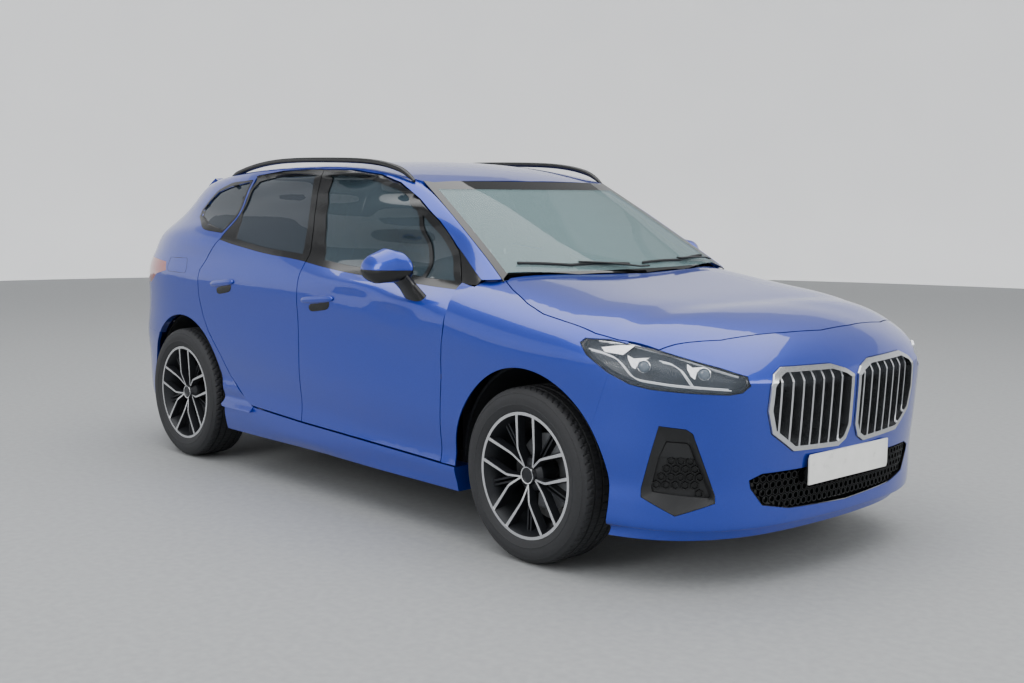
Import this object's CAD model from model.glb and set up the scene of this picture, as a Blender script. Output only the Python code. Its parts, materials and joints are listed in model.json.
"""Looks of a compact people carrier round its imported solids. X forward, Y to its left, Z up, metres."""
import json
import math

import bmesh
import bpy
import numpy as np
from bpy.props import FloatProperty, FloatVectorProperty, IntProperty
from mathutils import Matrix, Vector


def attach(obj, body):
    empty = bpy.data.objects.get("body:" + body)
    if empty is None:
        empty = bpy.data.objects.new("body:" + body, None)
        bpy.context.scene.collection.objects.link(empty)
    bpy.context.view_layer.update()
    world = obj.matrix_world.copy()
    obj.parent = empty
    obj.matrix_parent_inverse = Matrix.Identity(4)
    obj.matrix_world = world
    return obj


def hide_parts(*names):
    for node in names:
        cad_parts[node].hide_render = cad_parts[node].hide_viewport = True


bl_info = {
    "name": "Compact People Carrier",
    "version": (1, 0, 0),
    "blender": (4, 5, 0),
    "location": "View3D > Sidebar > Carrier",
    "description": "Dresses the packed solids of a compact people carrier",
    "category": "Add Mesh",
}

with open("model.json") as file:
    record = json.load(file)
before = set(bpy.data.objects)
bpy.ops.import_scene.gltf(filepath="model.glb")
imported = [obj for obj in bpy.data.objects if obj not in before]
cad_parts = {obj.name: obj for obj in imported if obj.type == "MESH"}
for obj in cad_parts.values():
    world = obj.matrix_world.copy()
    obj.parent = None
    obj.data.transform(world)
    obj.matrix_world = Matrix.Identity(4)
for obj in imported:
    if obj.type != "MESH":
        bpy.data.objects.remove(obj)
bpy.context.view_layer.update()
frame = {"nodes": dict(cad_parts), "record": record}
NODES = frame["nodes"]
SIDES = (("left", 1), ("right", -1))

# Where the running gear sits.
WHEEL_X = {"front": 1.331, "rear": -1.339}
WHEEL_Z = 0.341
WHEEL_SIDE = 0.791


# ---------------------------------------------------------------- colours and materials
def linear(code):
    """Linear colour of an sRGB hex code."""
    srgb = np.array([int(code[i:i + 2], 16) for i in (1, 3, 5)]) / 255
    return tuple(np.where(srgb <= 0.04045, srgb / 12.92, ((srgb + 0.055) / 1.055) ** 2.4)) + (1.0,)


def hexed(rgb):
    """sRGB hex code of a colour property."""
    return "#" + "".join(f"{int(round(c * 255)):02x}" for c in rgb[:3])


def add(tree, kind, values=None, links=None, **settings):
    """Adds one shader node, with its settings, its socket values and its incoming links."""
    made = tree.nodes.new("ShaderNode" + kind)
    for name, value in settings.items():
        setattr(made, name, value)
    for name, value in (values or {}).items():
        made.inputs[name].default_value = value
    for name, source in (links or {}).items():
        tree.links.new(source, made.inputs[name])
    return made


def start(name, **values):
    """New material: its tree, its main shader, and the object coordinates."""
    made = bpy.data.materials.new(name)
    made.use_nodes = True
    tree = made.node_tree
    shader = tree.nodes["Principled BSDF"]
    for socket, value in values.items():
        shader.inputs[socket].default_value = value
    return made, tree, shader, add(tree, "TexCoord").outputs["Object"]


def mottle(tree, shader, place, colours, grain, rough, bump=0.0, kind="Noise", stretch=(1, 1, 1)):
    """Colour, roughness and relief from one pattern; its grain and its relief are given in millimetres."""
    spread = add(tree, "Mapping", {"Scale": tuple(1000 / (grain * s) for s in stretch)}, {"Vector": place})
    if kind == "Noise":
        pattern = add(tree, "TexNoise", {"Scale": 1.0, "Detail": 3.0}, {"Vector": spread.outputs[0]})
        value = pattern.outputs["Fac"]
    else:
        pattern = add(tree, "TexVoronoi", {"Scale": 1.0}, {"Vector": spread.outputs[0]})
        value = pattern.outputs["Distance"]
    ramp = add(tree, "ValToRGB", links={"Fac": value})
    ramp.color_ramp.elements[0].position = 0.3
    ramp.color_ramp.elements[1].position = 0.7
    ramp.color_ramp.elements[0].color = linear(colours[0])
    ramp.color_ramp.elements[1].color = linear(colours[1])
    tree.links.new(ramp.outputs[0], shader.inputs["Base Color"])
    polish = add(tree, "MapRange", {"To Min": rough[0], "To Max": rough[1]}, {"Value": value})
    tree.links.new(polish.outputs[0], shader.inputs["Roughness"])
    if bump:
        relief = add(tree, "Bump", {"Strength": 0.6, "Distance": bump / 1000}, {"Height": value})
        tree.links.new(relief.outputs[0], shader.inputs["Normal"])


CURVE_FOOT = 0.6  # taken off each height, because a float curve holds values from 0 to 1


def above_line(tree, place, knots, low=-1.3, high=1.3):
    """1 where a point lies above a line z(x) through the knots, else 0."""
    split = add(tree, "SeparateXYZ", links={"Vector": place})
    along = add(tree, "MapRange", {"From Min": low, "From Max": high}, {"Value": split.outputs["X"]})
    line = add(tree, "FloatCurve", links={"Value": along.outputs[0]})
    points = line.mapping.curves[0].points
    scaled = sorted(((x - low) / (high - low), z - CURVE_FOOT) for x, z in knots)
    points[0].location, points[1].location = scaled[0], scaled[-1]
    for x, z in scaled[1:-1]:
        points.new(x, z)
    line.mapping.update()
    gap = add(tree, "Math", operation="SUBTRACT", links={0: split.outputs["Z"], 1: line.outputs[0]})
    return add(tree, "Math", {1: CURVE_FOOT}, {0: gap.outputs[0]}, operation="GREATER_THAN").outputs[0]


BELT_LINE = [(-1.3, 1.19), (-1.0, 1.168), (-0.87, 1.149), (-0.746, 1.134), (-0.54, 1.112), (-0.25, 1.092),
             (-0.088, 1.073), (0.108, 1.054), (0.33, 1.04), (0.548, 1.028), (0.7, 1.02), (0.86, 1.016),
             (1.3, 1.016)]


FLAKE = 1.3  # millimetres


def paint_nodes(tree, place, blue):
    """Metallic base coat: aluminium flakes, drawn coarser than real ones so that they show."""
    flakes = add(tree, "TexVoronoi", {"Scale": 1000 / FLAKE}, {"Vector": place})
    lift = add(tree, "MapRange", {"To Min": 0.86, "To Max": 1.16}, {"Value": flakes.outputs["Color"]})
    base = add(tree, "HueSaturation", {"Color": linear(blue)}, {"Value": lift.outputs[0]})
    return base.outputs[0]


def car_paint(name, blue):
    """Sprayed metallic body paint under clear lacquer: deep colour, sharp top reflections, fine sparkle."""
    made, tree, shader, place = start(name, **{"Metallic": 0.65, "Roughness": 0.36, "Coat Weight": 1.0,
                                               "Coat Roughness": 0.03, "Coat IOR": 1.5})
    tree.links.new(paint_nodes(tree, place, blue), shader.inputs["Base Color"])
    return made


def two_tone_paint(name, blue, black, mask_of):
    """The same paint with gloss black where the mask is 1, as sprayed window frames and mirror feet are."""
    made, tree, shader, place = start(name, **{"Coat Roughness": 0.03})
    mask = mask_of(tree, place)
    base = paint_nodes(tree, place, blue)
    mixed = add(tree, "Mix", data_type="RGBA")
    tree.links.new(mask, mixed.inputs[0])
    tree.links.new(base, mixed.inputs[6])
    mixed.inputs[7].default_value = linear(black)
    tree.links.new(mixed.outputs[2], shader.inputs["Base Color"])
    metal = add(tree, "MapRange", {"To Min": 0.65, "To Max": 0.0}, {"Value": mask})
    tree.links.new(metal.outputs[0], shader.inputs["Metallic"])
    rough = add(tree, "MapRange", {"To Min": 0.36, "To Max": 0.2}, {"Value": mask})
    tree.links.new(rough.outputs[0], shader.inputs["Roughness"])
    lacquer = add(tree, "MapRange", {"To Min": 1.0, "To Max": 0.0}, {"Value": mask})
    tree.links.new(lacquer.outputs[0], shader.inputs["Coat Weight"])
    return made


def plain(name, colours, grain, rough, bump=0.0, kind="Noise", stretch=(1, 1, 1), **values):
    """Material of one substance: its two tones, its grain in millimetres, its roughness range and relief."""
    made, tree, shader, place = start(name, **{k.replace("_", " "): v for k, v in values.items()})
    mottle(tree, shader, place, colours, grain, rough, bump, kind, stretch)
    return made


def window_glass(name, tint, cover, frit):
    """Float glass: a tinted film as dense as its cover, mirror smooth, black where a mask says so."""
    made, tree, shader, place = start(name, **{"Roughness": 0.02, "IOR": 1.5, "Specular IOR Level": 0.6})
    cloud = add(tree, "TexNoise", {"Scale": 2.0}, {"Vector": place})
    film = add(tree, "MapRange", {"To Min": cover - 0.02, "To Max": cover + 0.02},
               {"Value": cloud.outputs["Fac"]})
    lift = add(tree, "MapRange", {"To Min": 0.96, "To Max": 1.02}, {"Value": cloud.outputs["Fac"]})
    base = add(tree, "HueSaturation", {"Color": linear(tint)}, {"Value": lift.outputs[0]})
    if frit:
        mask = frit(tree, place)
        both = add(tree, "Mix", {7: linear("#08090a")}, {0: mask, 6: base.outputs[0]}, data_type="RGBA")
        solid = add(tree, "Math", links={0: film.outputs[0], 1: mask}, operation="MAXIMUM")
        tree.links.new(both.outputs[2], shader.inputs["Base Color"])
        tree.links.new(solid.outputs[0], shader.inputs["Alpha"])
    else:
        tree.links.new(base.outputs[0], shader.inputs["Base Color"])
        tree.links.new(film.outputs[0], shader.inputs["Alpha"])
    return made


def glass_border(lean, edge, top, foot):
    """Mask of a black border: past a side edge that leans in, above the top or below the foot."""
    def mask(tree, place):
        split = add(tree, "SeparateXYZ", links={"Vector": place})
        side = add(tree, "Math", links={0: split.outputs["Y"]}, operation="ABSOLUTE")
        reach = add(tree, "Math", {1: lean}, {0: split.outputs["Z"], 2: side.outputs[0]},
                    operation="MULTIPLY_ADD")
        past = add(tree, "Math", {1: edge}, {0: reach.outputs[0]}, operation="GREATER_THAN")
        over = add(tree, "Math", {1: top}, {0: split.outputs["Z"]}, operation="GREATER_THAN")
        under = add(tree, "Math", {1: foot}, {0: split.outputs["Z"]}, operation="LESS_THAN")
        rim = add(tree, "Math", links={0: past.outputs[0], 1: over.outputs[0]}, operation="MAXIMUM")
        return add(tree, "Math", links={0: rim.outputs[0], 1: under.outputs[0]},
                   operation="MAXIMUM").outputs[0]
    return mask


def mirror_foot(tree, place):
    """1 on the lower shell and the foot of a door mirror."""
    split = add(tree, "SeparateXYZ", links={"Vector": place})
    side = add(tree, "Math", links={0: split.outputs["Y"]}, operation="ABSOLUTE")
    shell = add(tree, "Math", {1: 1.092}, {0: split.outputs["Z"]}, operation="LESS_THAN")
    foot = add(tree, "Math", {1: 0.905}, {0: side.outputs[0]}, operation="LESS_THAN")
    return add(tree, "Math", links={0: shell.outputs[0], 1: foot.outputs[0]}, operation="MAXIMUM").outputs[0]


M = {}


def make_materials(settings):
    """Every finish of the car, named for what it is and how its surface was made."""
    blue, black = hexed(settings.body_blue), "#0b0c0e"
    M["paint"] = car_paint("metallic_blue_lacquer", blue)
    M["door"] = two_tone_paint("metallic_blue_with_black_frames", blue, black,
                               lambda tree, place: above_line(tree, place, BELT_LINE))
    M["mirror"] = two_tone_paint("metallic_blue_cap_black_foot", blue, black, mirror_foot)
    # Injection-moulded ABS, lacquered: deep black with clear reflections.
    M["gloss_black"] = plain("gloss_black_abs", ("#08090a", "#0b0c0e"), 60, (0.16, 0.2))
    # Moulded polypropylene with an etched grain of about 1.5 mm: dark grey, dull.
    M["grained"] = plain("grained_black_polypropylene", ("#121315", "#1a1b1d"), 1.5, (0.5, 0.62), 0.15,
                         "Voronoi")
    # Moulded ABS, spark-eroded mould: mid grey, soft sheen.
    M["grey_plastic"] = plain("moulded_grey_abs", ("#66686c", "#727478"), 5, (0.4, 0.5))
    # Extruded aluminium, satin anodised: soft pale grey highlights.
    M["satin"] = plain("satin_anodised_aluminium", ("#c9cbce", "#d6d8da"), 8, (0.2, 0.28), Metallic=1.0)
    # Diamond-turned alloy under lacquer: bright, with fine turning marks.
    M["machined"] = plain("machined_alloy", ("#cfd0d2", "#e2e3e5"), 3, (0.2, 0.3), 0.02, Metallic=1.0,
                          Coat_Weight=0.5)
    # Powder coated cast alloy: smooth dark grey.
    M["pocket"] = plain("powder_coated_alloy", ("#1c1e22", "#26282c"), 3, (0.32, 0.42), 0.02, Metallic=0.4)
    # Vulcanised rubber: matt, greyed by dust.
    M["rubber"] = plain("moulded_tyre_rubber", ("#1b1c1e", "#26272a"), 9, (0.62, 0.8), 0.2)
    # Injection-moulded lamp cover, hard coated: almost clear, mirror smooth.
    M["clear"] = window_glass("clear_polycarbonate", "#8e99a6", 0.07, None)
    # Injection-moulded red acrylic over a bright reflector: deep red, wet gloss.
    M["red_lens"] = plain("moulded_red_acrylic", ("#7d0a12", "#9c1119"), 14, (0.06, 0.1), Coat_Weight=1.0)
    # Two panes with a film between them, faintly green, with a fired black border.
    M["screen"] = window_glass("laminated_windscreen_glass", "#7c979a", 0.42,
                               glass_border(0.33, 1.021, 1.425, 1.088))
    # Toughened panes: grey-green front ones, smoked rear ones that show little of the inside.
    M["side_glass"] = window_glass("toughened_side_glass", "#34424a", 0.72, None)
    M["privacy"] = window_glass("privacy_glass", "#262f38", 0.9, None)
    M["gate_glass"] = window_glass("privacy_glass_with_border", "#262f38", 0.9,
                                   glass_border(0.3, 0.885, 1.375, 1.152))
    # Pressed steel under dipped primer and sound-deadening: dark grey, slightly uneven.
    M["steel"] = plain("coated_pressed_steel", ("#26282b", "#33363a"), 12, (0.45, 0.6), 0.2, Metallic=0.3)
    # Cast in sand: dark grey, with a grain of about 2.5 mm and no shine.
    M["iron"] = plain("sand_cast_iron", ("#2e2f31", "#3c3d3f"), 2.5, (0.55, 0.7), 0.3, Metallic=0.6)
    # Turned iron disc: grey, ground by the pads in rings.
    M["disc"] = plain("ground_brake_disc_iron", ("#77797c", "#8d8f92"), 2, (0.3, 0.42), 0.05, Metallic=1.0)
    # Slush-moulded skin over foam: black, pebbled at 1.6 mm, dull.
    M["cabin"] = plain("slush_moulded_dashboard_skin", ("#17181a", "#202123"), 1.6, (0.55, 0.68), 0.2,
                       "Voronoi")
    # Needled polyester: tufts of 1.4 mm, matt and deep black.
    M["carpet"] = plain("needled_carpet", ("#131415", "#232426"), 1.4, (0.85, 0.98), 0.8)
    # Knitted cloth over a moulded board: pale grey loops of 1.2 mm, matt.
    M["lining"] = plain("knitted_headlining", ("#77787a", "#86878a"), 1.2, (0.85, 0.95), 0.3)
    # Woven polyester: dark threads 1.5 mm apart with a soft sheen at its edges.
    M["seat"] = plain("woven_seat_cloth", ("#151617", "#2a2b2d"), 1.5, (0.75, 0.9), 0.5, "Voronoi",
                      Sheen_Weight=0.3)
    # Embossed hide: fine cells of 2.2 mm, a low shine on their tops.
    M["leather"] = plain("grained_leather", ("#141415", "#1d1d1e"), 2.2, (0.42, 0.55), 0.2, "Voronoi")
    # Clear acrylic over reflective white film: even, slightly glossy.
    M["plate"] = plain("reflective_plate_acrylic", ("#e9eae6", "#f1f1ee"), 40, (0.25, 0.32), Coat_Weight=0.5)
    # Aluminium evaporated on to moulded plastic: a clean mirror.
    M["chrome"] = plain("vacuum_metallised_reflector", ("#d5d8dc", "#e6e8ea"), 10, (0.06, 0.1), Metallic=1.0)
    # Frosted acrylic: white, with a soft edge to every highlight.
    M["light_guide"] = plain("frosted_light_guide", ("#e8eef5", "#f7fafd"), 6, (0.3, 0.4))
    # Black-tinted polycarbonate mouldings behind the lens: dark blue-grey, satin.
    M["lamp_black"] = plain("moulded_lamp_housing", ("#20262d", "#2b333c"), 20, (0.3, 0.4))
    # Pressed glass over a dark shutter: blue-grey, with one sharp highlight.
    M["projector"] = plain("projector_lens_glass", ("#56616d", "#6a7682"), 12, (0.03, 0.05), Coat_Weight=1.0)


SLOT_FINISH = {
    "paint": "paint", "lamp_lens": "clear", "tail_lens": "red_lens", "satin_silver": "satin",
    "black_plastic": "grained", "gloss_black": "gloss_black", "cabin_plastic": "cabin",
    "window_glass": "side_glass",
    "privacy_glass": "privacy", "steel": "steel", "iron": "iron", "seat_fabric": "seat",
    "wheel_leather": "leather",
    "tyre": "rubber", "alloy": "pocket",
}
NODE_FINISH = {
    "front_door": "door", "rear_door": "door", "mirror": "mirror", "windscreen": "screen",
    "tailgate_glass": "gate_glass", "floor_pan": "carpet", "bulkhead": "steel",
}


def dress_nodes():
    """Gives every carried-over solid the finish of its slot, or its own where it has one."""
    slots = {part["node"]: part["material_slot"] for part in frame["record"]["subparts"]}
    for name, solid in NODES.items():
        stem = name.removesuffix("_left").removesuffix("_right")
        finish = NODE_FINISH.get(stem) or SLOT_FINISH[slots[name]]
        for place in solid.material_slots:
            place.material = M[finish]


# ---------------------------------------------------------------- surfaces
def grid_faces(rows, columns, close_rows, close_columns, start):
    """Quads of a grid whose points are numbered row by row; a closed way joins its last line to its first."""
    i = np.arange(rows if close_rows else rows - 1)[:, None]
    j = np.arange(columns if close_columns else columns - 1)[None, :]
    k, m = (i + 1) % rows, (j + 1) % columns
    corners = np.broadcast_arrays(i * columns + j, i * columns + m, k * columns + m, k * columns + j)
    return (start + np.stack(corners, -1).reshape(-1, 4)).tolist()


def around(count):
    """Angles of a full turn."""
    return np.linspace(0, 2 * np.pi, count, endpoint=False)


def coordinates(rows, name="co"):
    """One row of x, y and z for each vertex or normal."""
    flat = np.empty(len(rows) * 3, np.float32)
    rows.foreach_get(name, flat)
    return flat.reshape(-1, 3)


def linked(name, data):
    """New object of the data, in the scene."""
    made = bpy.data.objects.new(name, data)
    bpy.context.collection.objects.link(made)
    return made


def faced_outwards(mesh, merged=0.0):
    """Merges doubles closer than a distance, if one is given, and turns every face outwards."""
    work = bmesh.new()
    work.from_mesh(mesh)
    if merged:
        bmesh.ops.remove_doubles(work, verts=work.verts, dist=merged)
    bmesh.ops.recalc_face_normals(work, faces=work.faces)
    work.to_mesh(mesh)
    work.free()
    mesh.shade_smooth()


DOUBLES = 1e-5
DISH = {"close_columns": True}
TUBE = {"close_columns": True, "capped": True}
HOOP = {"close_rows": True, "close_columns": True}


class Shape:
    """Gathers grids of points into the vertices and faces of one mesh."""

    def __init__(self):
        self.points, self.faces, self.count = [], [], 0

    def grid(self, points, close_rows=False, close_columns=False, capped=False):
        """Adds a rows by columns grid; capped closes the first and last rows of a tube."""
        rows, columns = points.shape[:2]
        self.faces += grid_faces(rows, columns, close_rows, close_columns, self.count)
        if capped:
            first = self.count + np.arange(columns)
            self.faces += [first.tolist(), (first + (rows - 1) * columns).tolist()]
        self.points.append(points.reshape(-1, 3))
        self.count += rows * columns
        return self

    def both_sides(self, points, **closing):
        """Adds a grid and its mirror image in the car's middle plane."""
        self.grid(points, **closing)
        return self.grid(points * (1, -1, 1), **closing)


def make(name, shape, finish, body, slot, replaces=(), crease=35):
    """One object of the gathered grids: doubles merged, faces outwards, smooth except at creases."""
    mesh = bpy.data.meshes.new(name)
    mesh.from_pydata(np.concatenate(shape.points).tolist(), [], shape.faces)
    faced_outwards(mesh, DOUBLES)
    mesh.set_sharp_from_angle(angle=math.radians(crease))
    mesh.materials.append(M[finish])
    made = linked(name, mesh)
    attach(made, body)
    if replaces:
        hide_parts(*replaces)
    return made


def turned(profile, centre, side, steps=72, start=0.0, sweep=2 * np.pi):
    """Profile of (radius, outward) pairs turned about an axle: x and z go round, y goes outwards."""
    r, w = np.asarray(profile, float).T[:, :, None]
    a = (start + np.linspace(0, sweep, steps, endpoint=sweep < 2 * np.pi))[None, :]
    y = np.broadcast_to(centre[1] + side * w, (len(r), steps))
    return np.stack([centre[0] + r * np.cos(a), y, centre[2] + r * np.sin(a)], -1)


def swept(path, section, across, above):
    """Sections of (across, above) pairs carried along a path, each pair laid off along two directions."""
    path = np.asarray(path, float)
    section = np.asarray(section, float)
    section = np.broadcast_to(section, (len(path), *section.shape[-2:]))
    across = np.broadcast_to(np.asarray(across, float), path.shape)
    above = np.broadcast_to(np.asarray(above, float), path.shape)
    return path[:, None] + section[..., :1] * across[:, None] + section[..., 1:] * above[:, None]


def oval(wide, high, steps=16, power=2.0):
    """Section whose points are cosine and sine raised to 2 / power, so that a larger power is squarer."""
    a = around(steps)
    c, s = np.cos(a), np.sin(a)
    return np.stack([wide / 2 * np.sign(c) * np.abs(c) ** (2 / power),
                     high / 2 * np.sign(s) * np.abs(s) ** (2 / power)], -1)


def curve(points, steps=32, softened=4):
    """Line through the points at equal distances, then averaged with its neighbours to soften its corners."""
    points = np.asarray(points, float)
    length = np.concatenate([[0], np.cumsum(np.linalg.norm(np.diff(points, axis=0), axis=1))])
    at = np.linspace(0, length[-1], steps)
    line = np.stack([np.interp(at, length, column) for column in points.T], -1)
    for _ in range(softened):
        line[1:-1] = (line[:-2] + 2 * line[1:-1] + line[2:]) / 4
    return line


def closed_curve(points, steps=64, softened=3):
    """The same for a line that ends where it starts."""
    line = curve([*points, points[0]], steps + 1, 0)[:-1]
    for _ in range(softened):
        line = (np.roll(line, 1, 0) + 2 * line + np.roll(line, -1, 0)) / 4
    return line


def unit(v):
    v = np.asarray(v, float)
    return v / np.linalg.norm(v, axis=-1, keepdims=True)


def tangents(path):
    """Direction of a path at each of its points."""
    return unit(np.gradient(np.asarray(path, float), axis=0))


def drop(points, toward, names):
    """How far each point travels to meet the named solids; one that misses takes its neighbour's travel."""
    mesh = bpy.data.meshes.new("target")
    work = bmesh.new()
    for name in names:
        work.from_mesh(NODES[name].data)
    work.to_mesh(mesh)
    work.free()
    target = linked("target", mesh)
    turn = np.array(Vector(toward).to_track_quat("-Z", "Y").to_matrix())
    flat = points.reshape(-1, 3)
    holder = linked("holder", bpy.data.meshes.new("holder"))
    holder.data.from_pydata((flat @ turn).tolist(), [], [])
    holder.matrix_world = Matrix(turn.tolist()).to_4x4()
    wrap = holder.modifiers.new("wrap", "SHRINKWRAP")
    wrap.target, wrap.wrap_method, wrap.use_project_z = target, "PROJECT", True
    wrap.use_negative_direction, wrap.use_positive_direction = True, False
    bpy.context.view_layer.update()
    laid = holder.evaluated_get(bpy.context.evaluated_depsgraph_get()).data
    travel = (flat @ turn)[:, 2] - coordinates(laid.vertices)[:, 2]
    for each in (holder, target):
        data = each.data
        bpy.data.objects.remove(each)
        bpy.data.meshes.remove(data)
    hit = travel > 1e-6
    if not hit.any():
        raise RuntimeError(f"nothing of {names} lies behind the points")
    across = (flat @ turn)[:, :2]
    missed = np.flatnonzero(~hit)
    if len(missed):
        gap = np.linalg.norm(across[missed, None] - across[None, hit], axis=-1)
        travel[missed] = travel[hit][gap.argmin(1)]
    return travel.reshape(points.shape[:-1])


STAND_OFF = 0.4  # how far outside its origin a view starts


class View:
    """A flat view of the car's skin: a place is given across and up, its point lies on the solids behind."""

    def __init__(self, origin, across, inward, *names):
        self.across, self.inward = unit(across), unit(inward)
        self.up = np.cross(self.across, self.inward)
        if self.up[2] < 0:
            self.up = -self.up
        if abs(self.inward[2]) > 0.9:
            self.up = np.array([1.0, 0, 0])
        self.origin = np.asarray(origin, float) - self.inward * STAND_OFF
        self.names = names

    def at(self, places, sunk=0.0):
        """Points of the skin behind the places, sunk by a depth along the view."""
        places = np.asarray(places, float)
        points = self.origin + places[..., :1] * self.across + places[..., 1:] * self.up
        travel = drop(points, self.inward, self.names) + sunk
        return points + travel[..., None] * self.inward


# ---------------------------------------------------------------- wheels
RIM_EDGE = 0.2455
RIM_LIP = 0.2338
HUB_RADIUS = 0.03
ELBOW_RADIUS = 0.098
SPOKE_END = 0.237
ARM_SIDE = 0.046
BOLT_CIRCLE = 0.056
BOLT = 0.0085
DISC_RADIUS = 0.15
CALIPER_SWEEP = math.radians(48)


def in_wheel(points, centre, side, angle):
    """Points (sideways, radius, outward) of an upright spoke, turned by the angle about the axle."""
    u, v, w = np.moveaxis(points, -1, 0)
    return np.stack([centre[0] + u * math.cos(angle) + v * math.sin(angle), centre[1] + side * w,
                     centre[2] + v * math.cos(angle) - u * math.sin(angle)], -1)


def arm(side_of_pair, half_width):
    """One arm of a double spoke: a path from rim to hub, its sideways direction and its half width."""
    line = curve([(ARM_SIDE, SPOKE_END), (ARM_SIDE, 0.175), (ARM_SIDE, ELBOW_RADIUS), (0.022, HUB_RADIUS)],
                 28, 3)
    reach = line[:, 1]
    out = np.interp(reach, [HUB_RADIUS, ELBOW_RADIUS, SPOKE_END], [0.076, 0.091, 0.0985])
    path = np.stack([line[:, 0] * side_of_pair, reach, out], -1)
    along = tangents(path * (1, 1, 0))
    sideways = np.stack([along[:, 1], -along[:, 0], along[:, 2] * 0], -1)
    wide = np.interp(reach, [HUB_RADIUS, ELBOW_RADIUS, SPOKE_END], [0.0032, 0.0042, 0.0066]) + half_width
    return path, sideways, wide


def band(wide, drop_from, drop_to, flare):
    """Sections of a bar: its top as wide as given, its foot flared, between two depths."""
    top, foot = np.full_like(wide, drop_from), np.full_like(wide, drop_to)
    return np.stack([np.stack([-wide, top], -1), np.stack([wide, top], -1),
                     np.stack([wide + flare, foot], -1),
                     np.stack([-wide - flare, foot], -1)], 1)


def add_spokes(bright, dark, bolts, spokes, centre, side):
    """Double spokes with a machined face over a dark body, and between them a ribbed web and a bolt head."""
    for spoke in range(spokes):
        angle = spoke * 2 * math.pi / spokes
        between = angle + math.pi / spokes
        for half in (-1, 1):
            for shape, grow, top, foot, flare in ((bright, 0, 0, -0.002, 0),
                                                  (dark, 0.0012, -0.0012, -0.034, 0.005)):
                path, sideways, wide = arm(half, grow)
                bar = swept(path, band(wide, top, foot, flare), sideways, (0, 0, 1))
                shape.grid(in_wheel(bar, centre, side, angle), **TUBE)
        rib = curve([(0, SPOKE_END, 0.07), (0, 0.13, 0.066), (0, 0.055, 0.06)], 12, 1)
        for shift in (-0.0085, 0.0085):
            bar = swept(rib + (shift, 0, 0), band(np.full(12, 0.0035), 0, -0.028, 0.003), (1, 0, 0),
                        (0, 0, 1))
            dark.grid(in_wheel(bar, centre, side, between), **TUBE)
        a = around(6)
        head = [np.stack([BOLT * s * np.cos(a), BOLT_CIRCLE + BOLT * s * np.sin(a), np.full(6, w)], -1)
                for s, w in ((1, 0.05), (1, 0.063), (0.86, 0.066), (0.02, 0.066))]
        bolts.grid(in_wheel(np.stack(head), centre, side, between), **TUBE)


RIM_BARREL = [(RIM_EDGE, 0.0972), (RIM_EDGE, 0.09), (0.232, 0.086), (0.222, 0.06), (0.207, 0.02),
              (0.204, -0.06), (0.226, -0.085), (RIM_EDGE, -0.09), (RIM_EDGE, -0.099), (0.2335, -0.099),
              (0.218, -0.085), (0.196, -0.06), (0.199, 0.02), (0.214, 0.06), (0.2255, 0.082),
              (0.2335, 0.0972)]
RIM_RING = [(RIM_LIP, 0.0998), (RIM_EDGE, 0.1), (RIM_EDGE, 0.0975), (RIM_LIP, 0.0975)]
CAP_RING = [(0.0295, 0.0835), (0.0335, 0.0845), (0.0345, 0.0815), (0.0295, 0.0805)]
HUB_PROFILE = [(0.001, 0.079), (0.029, 0.081), (0.034, 0.079), (0.04, 0.068), (0.064, 0.058), (0.07, 0.045),
               (0.07, -0.005), (0.03, -0.01), (0.03, 0.0), (0.001, 0.0)]
DISC_PROFILE = [(0.074, -0.02), (DISC_RADIUS, -0.027), (DISC_RADIUS, -0.049), (0.074, -0.049)]
CALIPER_PROFILE = [(0.098, -0.008), (0.158, -0.008), (0.168, -0.018), (0.168, -0.062), (0.158, -0.072),
                   (0.098, -0.072), (0.098, -0.055), (0.153, -0.055), (0.153, -0.021), (0.098, -0.021)]


def make_wheel(end, hand, side, spokes):
    """Bright faces, dark body, bolts, disc and caliper of one wheel."""
    body = f"{hand}_{end}_wheel"
    centre = (WHEEL_X[end], side * WHEEL_SIDE, WHEEL_Z)
    bright, dark, bolts = Shape(), Shape(), Shape()
    add_spokes(bright, dark, bolts, spokes, centre, side)
    bright.grid(turned(RIM_RING, centre, side, 120), **HOOP)
    bright.grid(turned(CAP_RING, centre, side, 60), **HOOP)
    dark.grid(turned(RIM_BARREL, centre, side, 120), **HOOP)
    dark.grid(turned(HUB_PROFILE, centre, side, 60), **TUBE)
    rim = f"rim_{end}_{hand}"
    make(f"wheel_faces_{end}_{hand}", bright, "machined", body, "alloy", (rim,))
    make(f"wheel_body_{end}_{hand}", dark, "pocket", body, "alloy", (rim,))
    make(f"wheel_bolts_{end}_{hand}", bolts, "iron", body, "steel")
    disc = Shape().grid(turned(DISC_PROFILE, centre, side, 90), **HOOP)
    make(f"brake_disc_{end}_{hand}", disc, "disc", body, "steel")
    turn = math.radians(150 if end == "front" else 20)
    caliper = turned(CALIPER_PROFILE, centre, side, 18, turn, CALIPER_SWEEP)
    grip = Shape().grid(np.swapaxes(caliper, 0, 1), **TUBE)
    carrier = f"{hand}_knuckle" if end == "front" else "body"
    make(f"brake_caliper_{end}_{hand}", grip, "iron", carrier, "iron")


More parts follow.
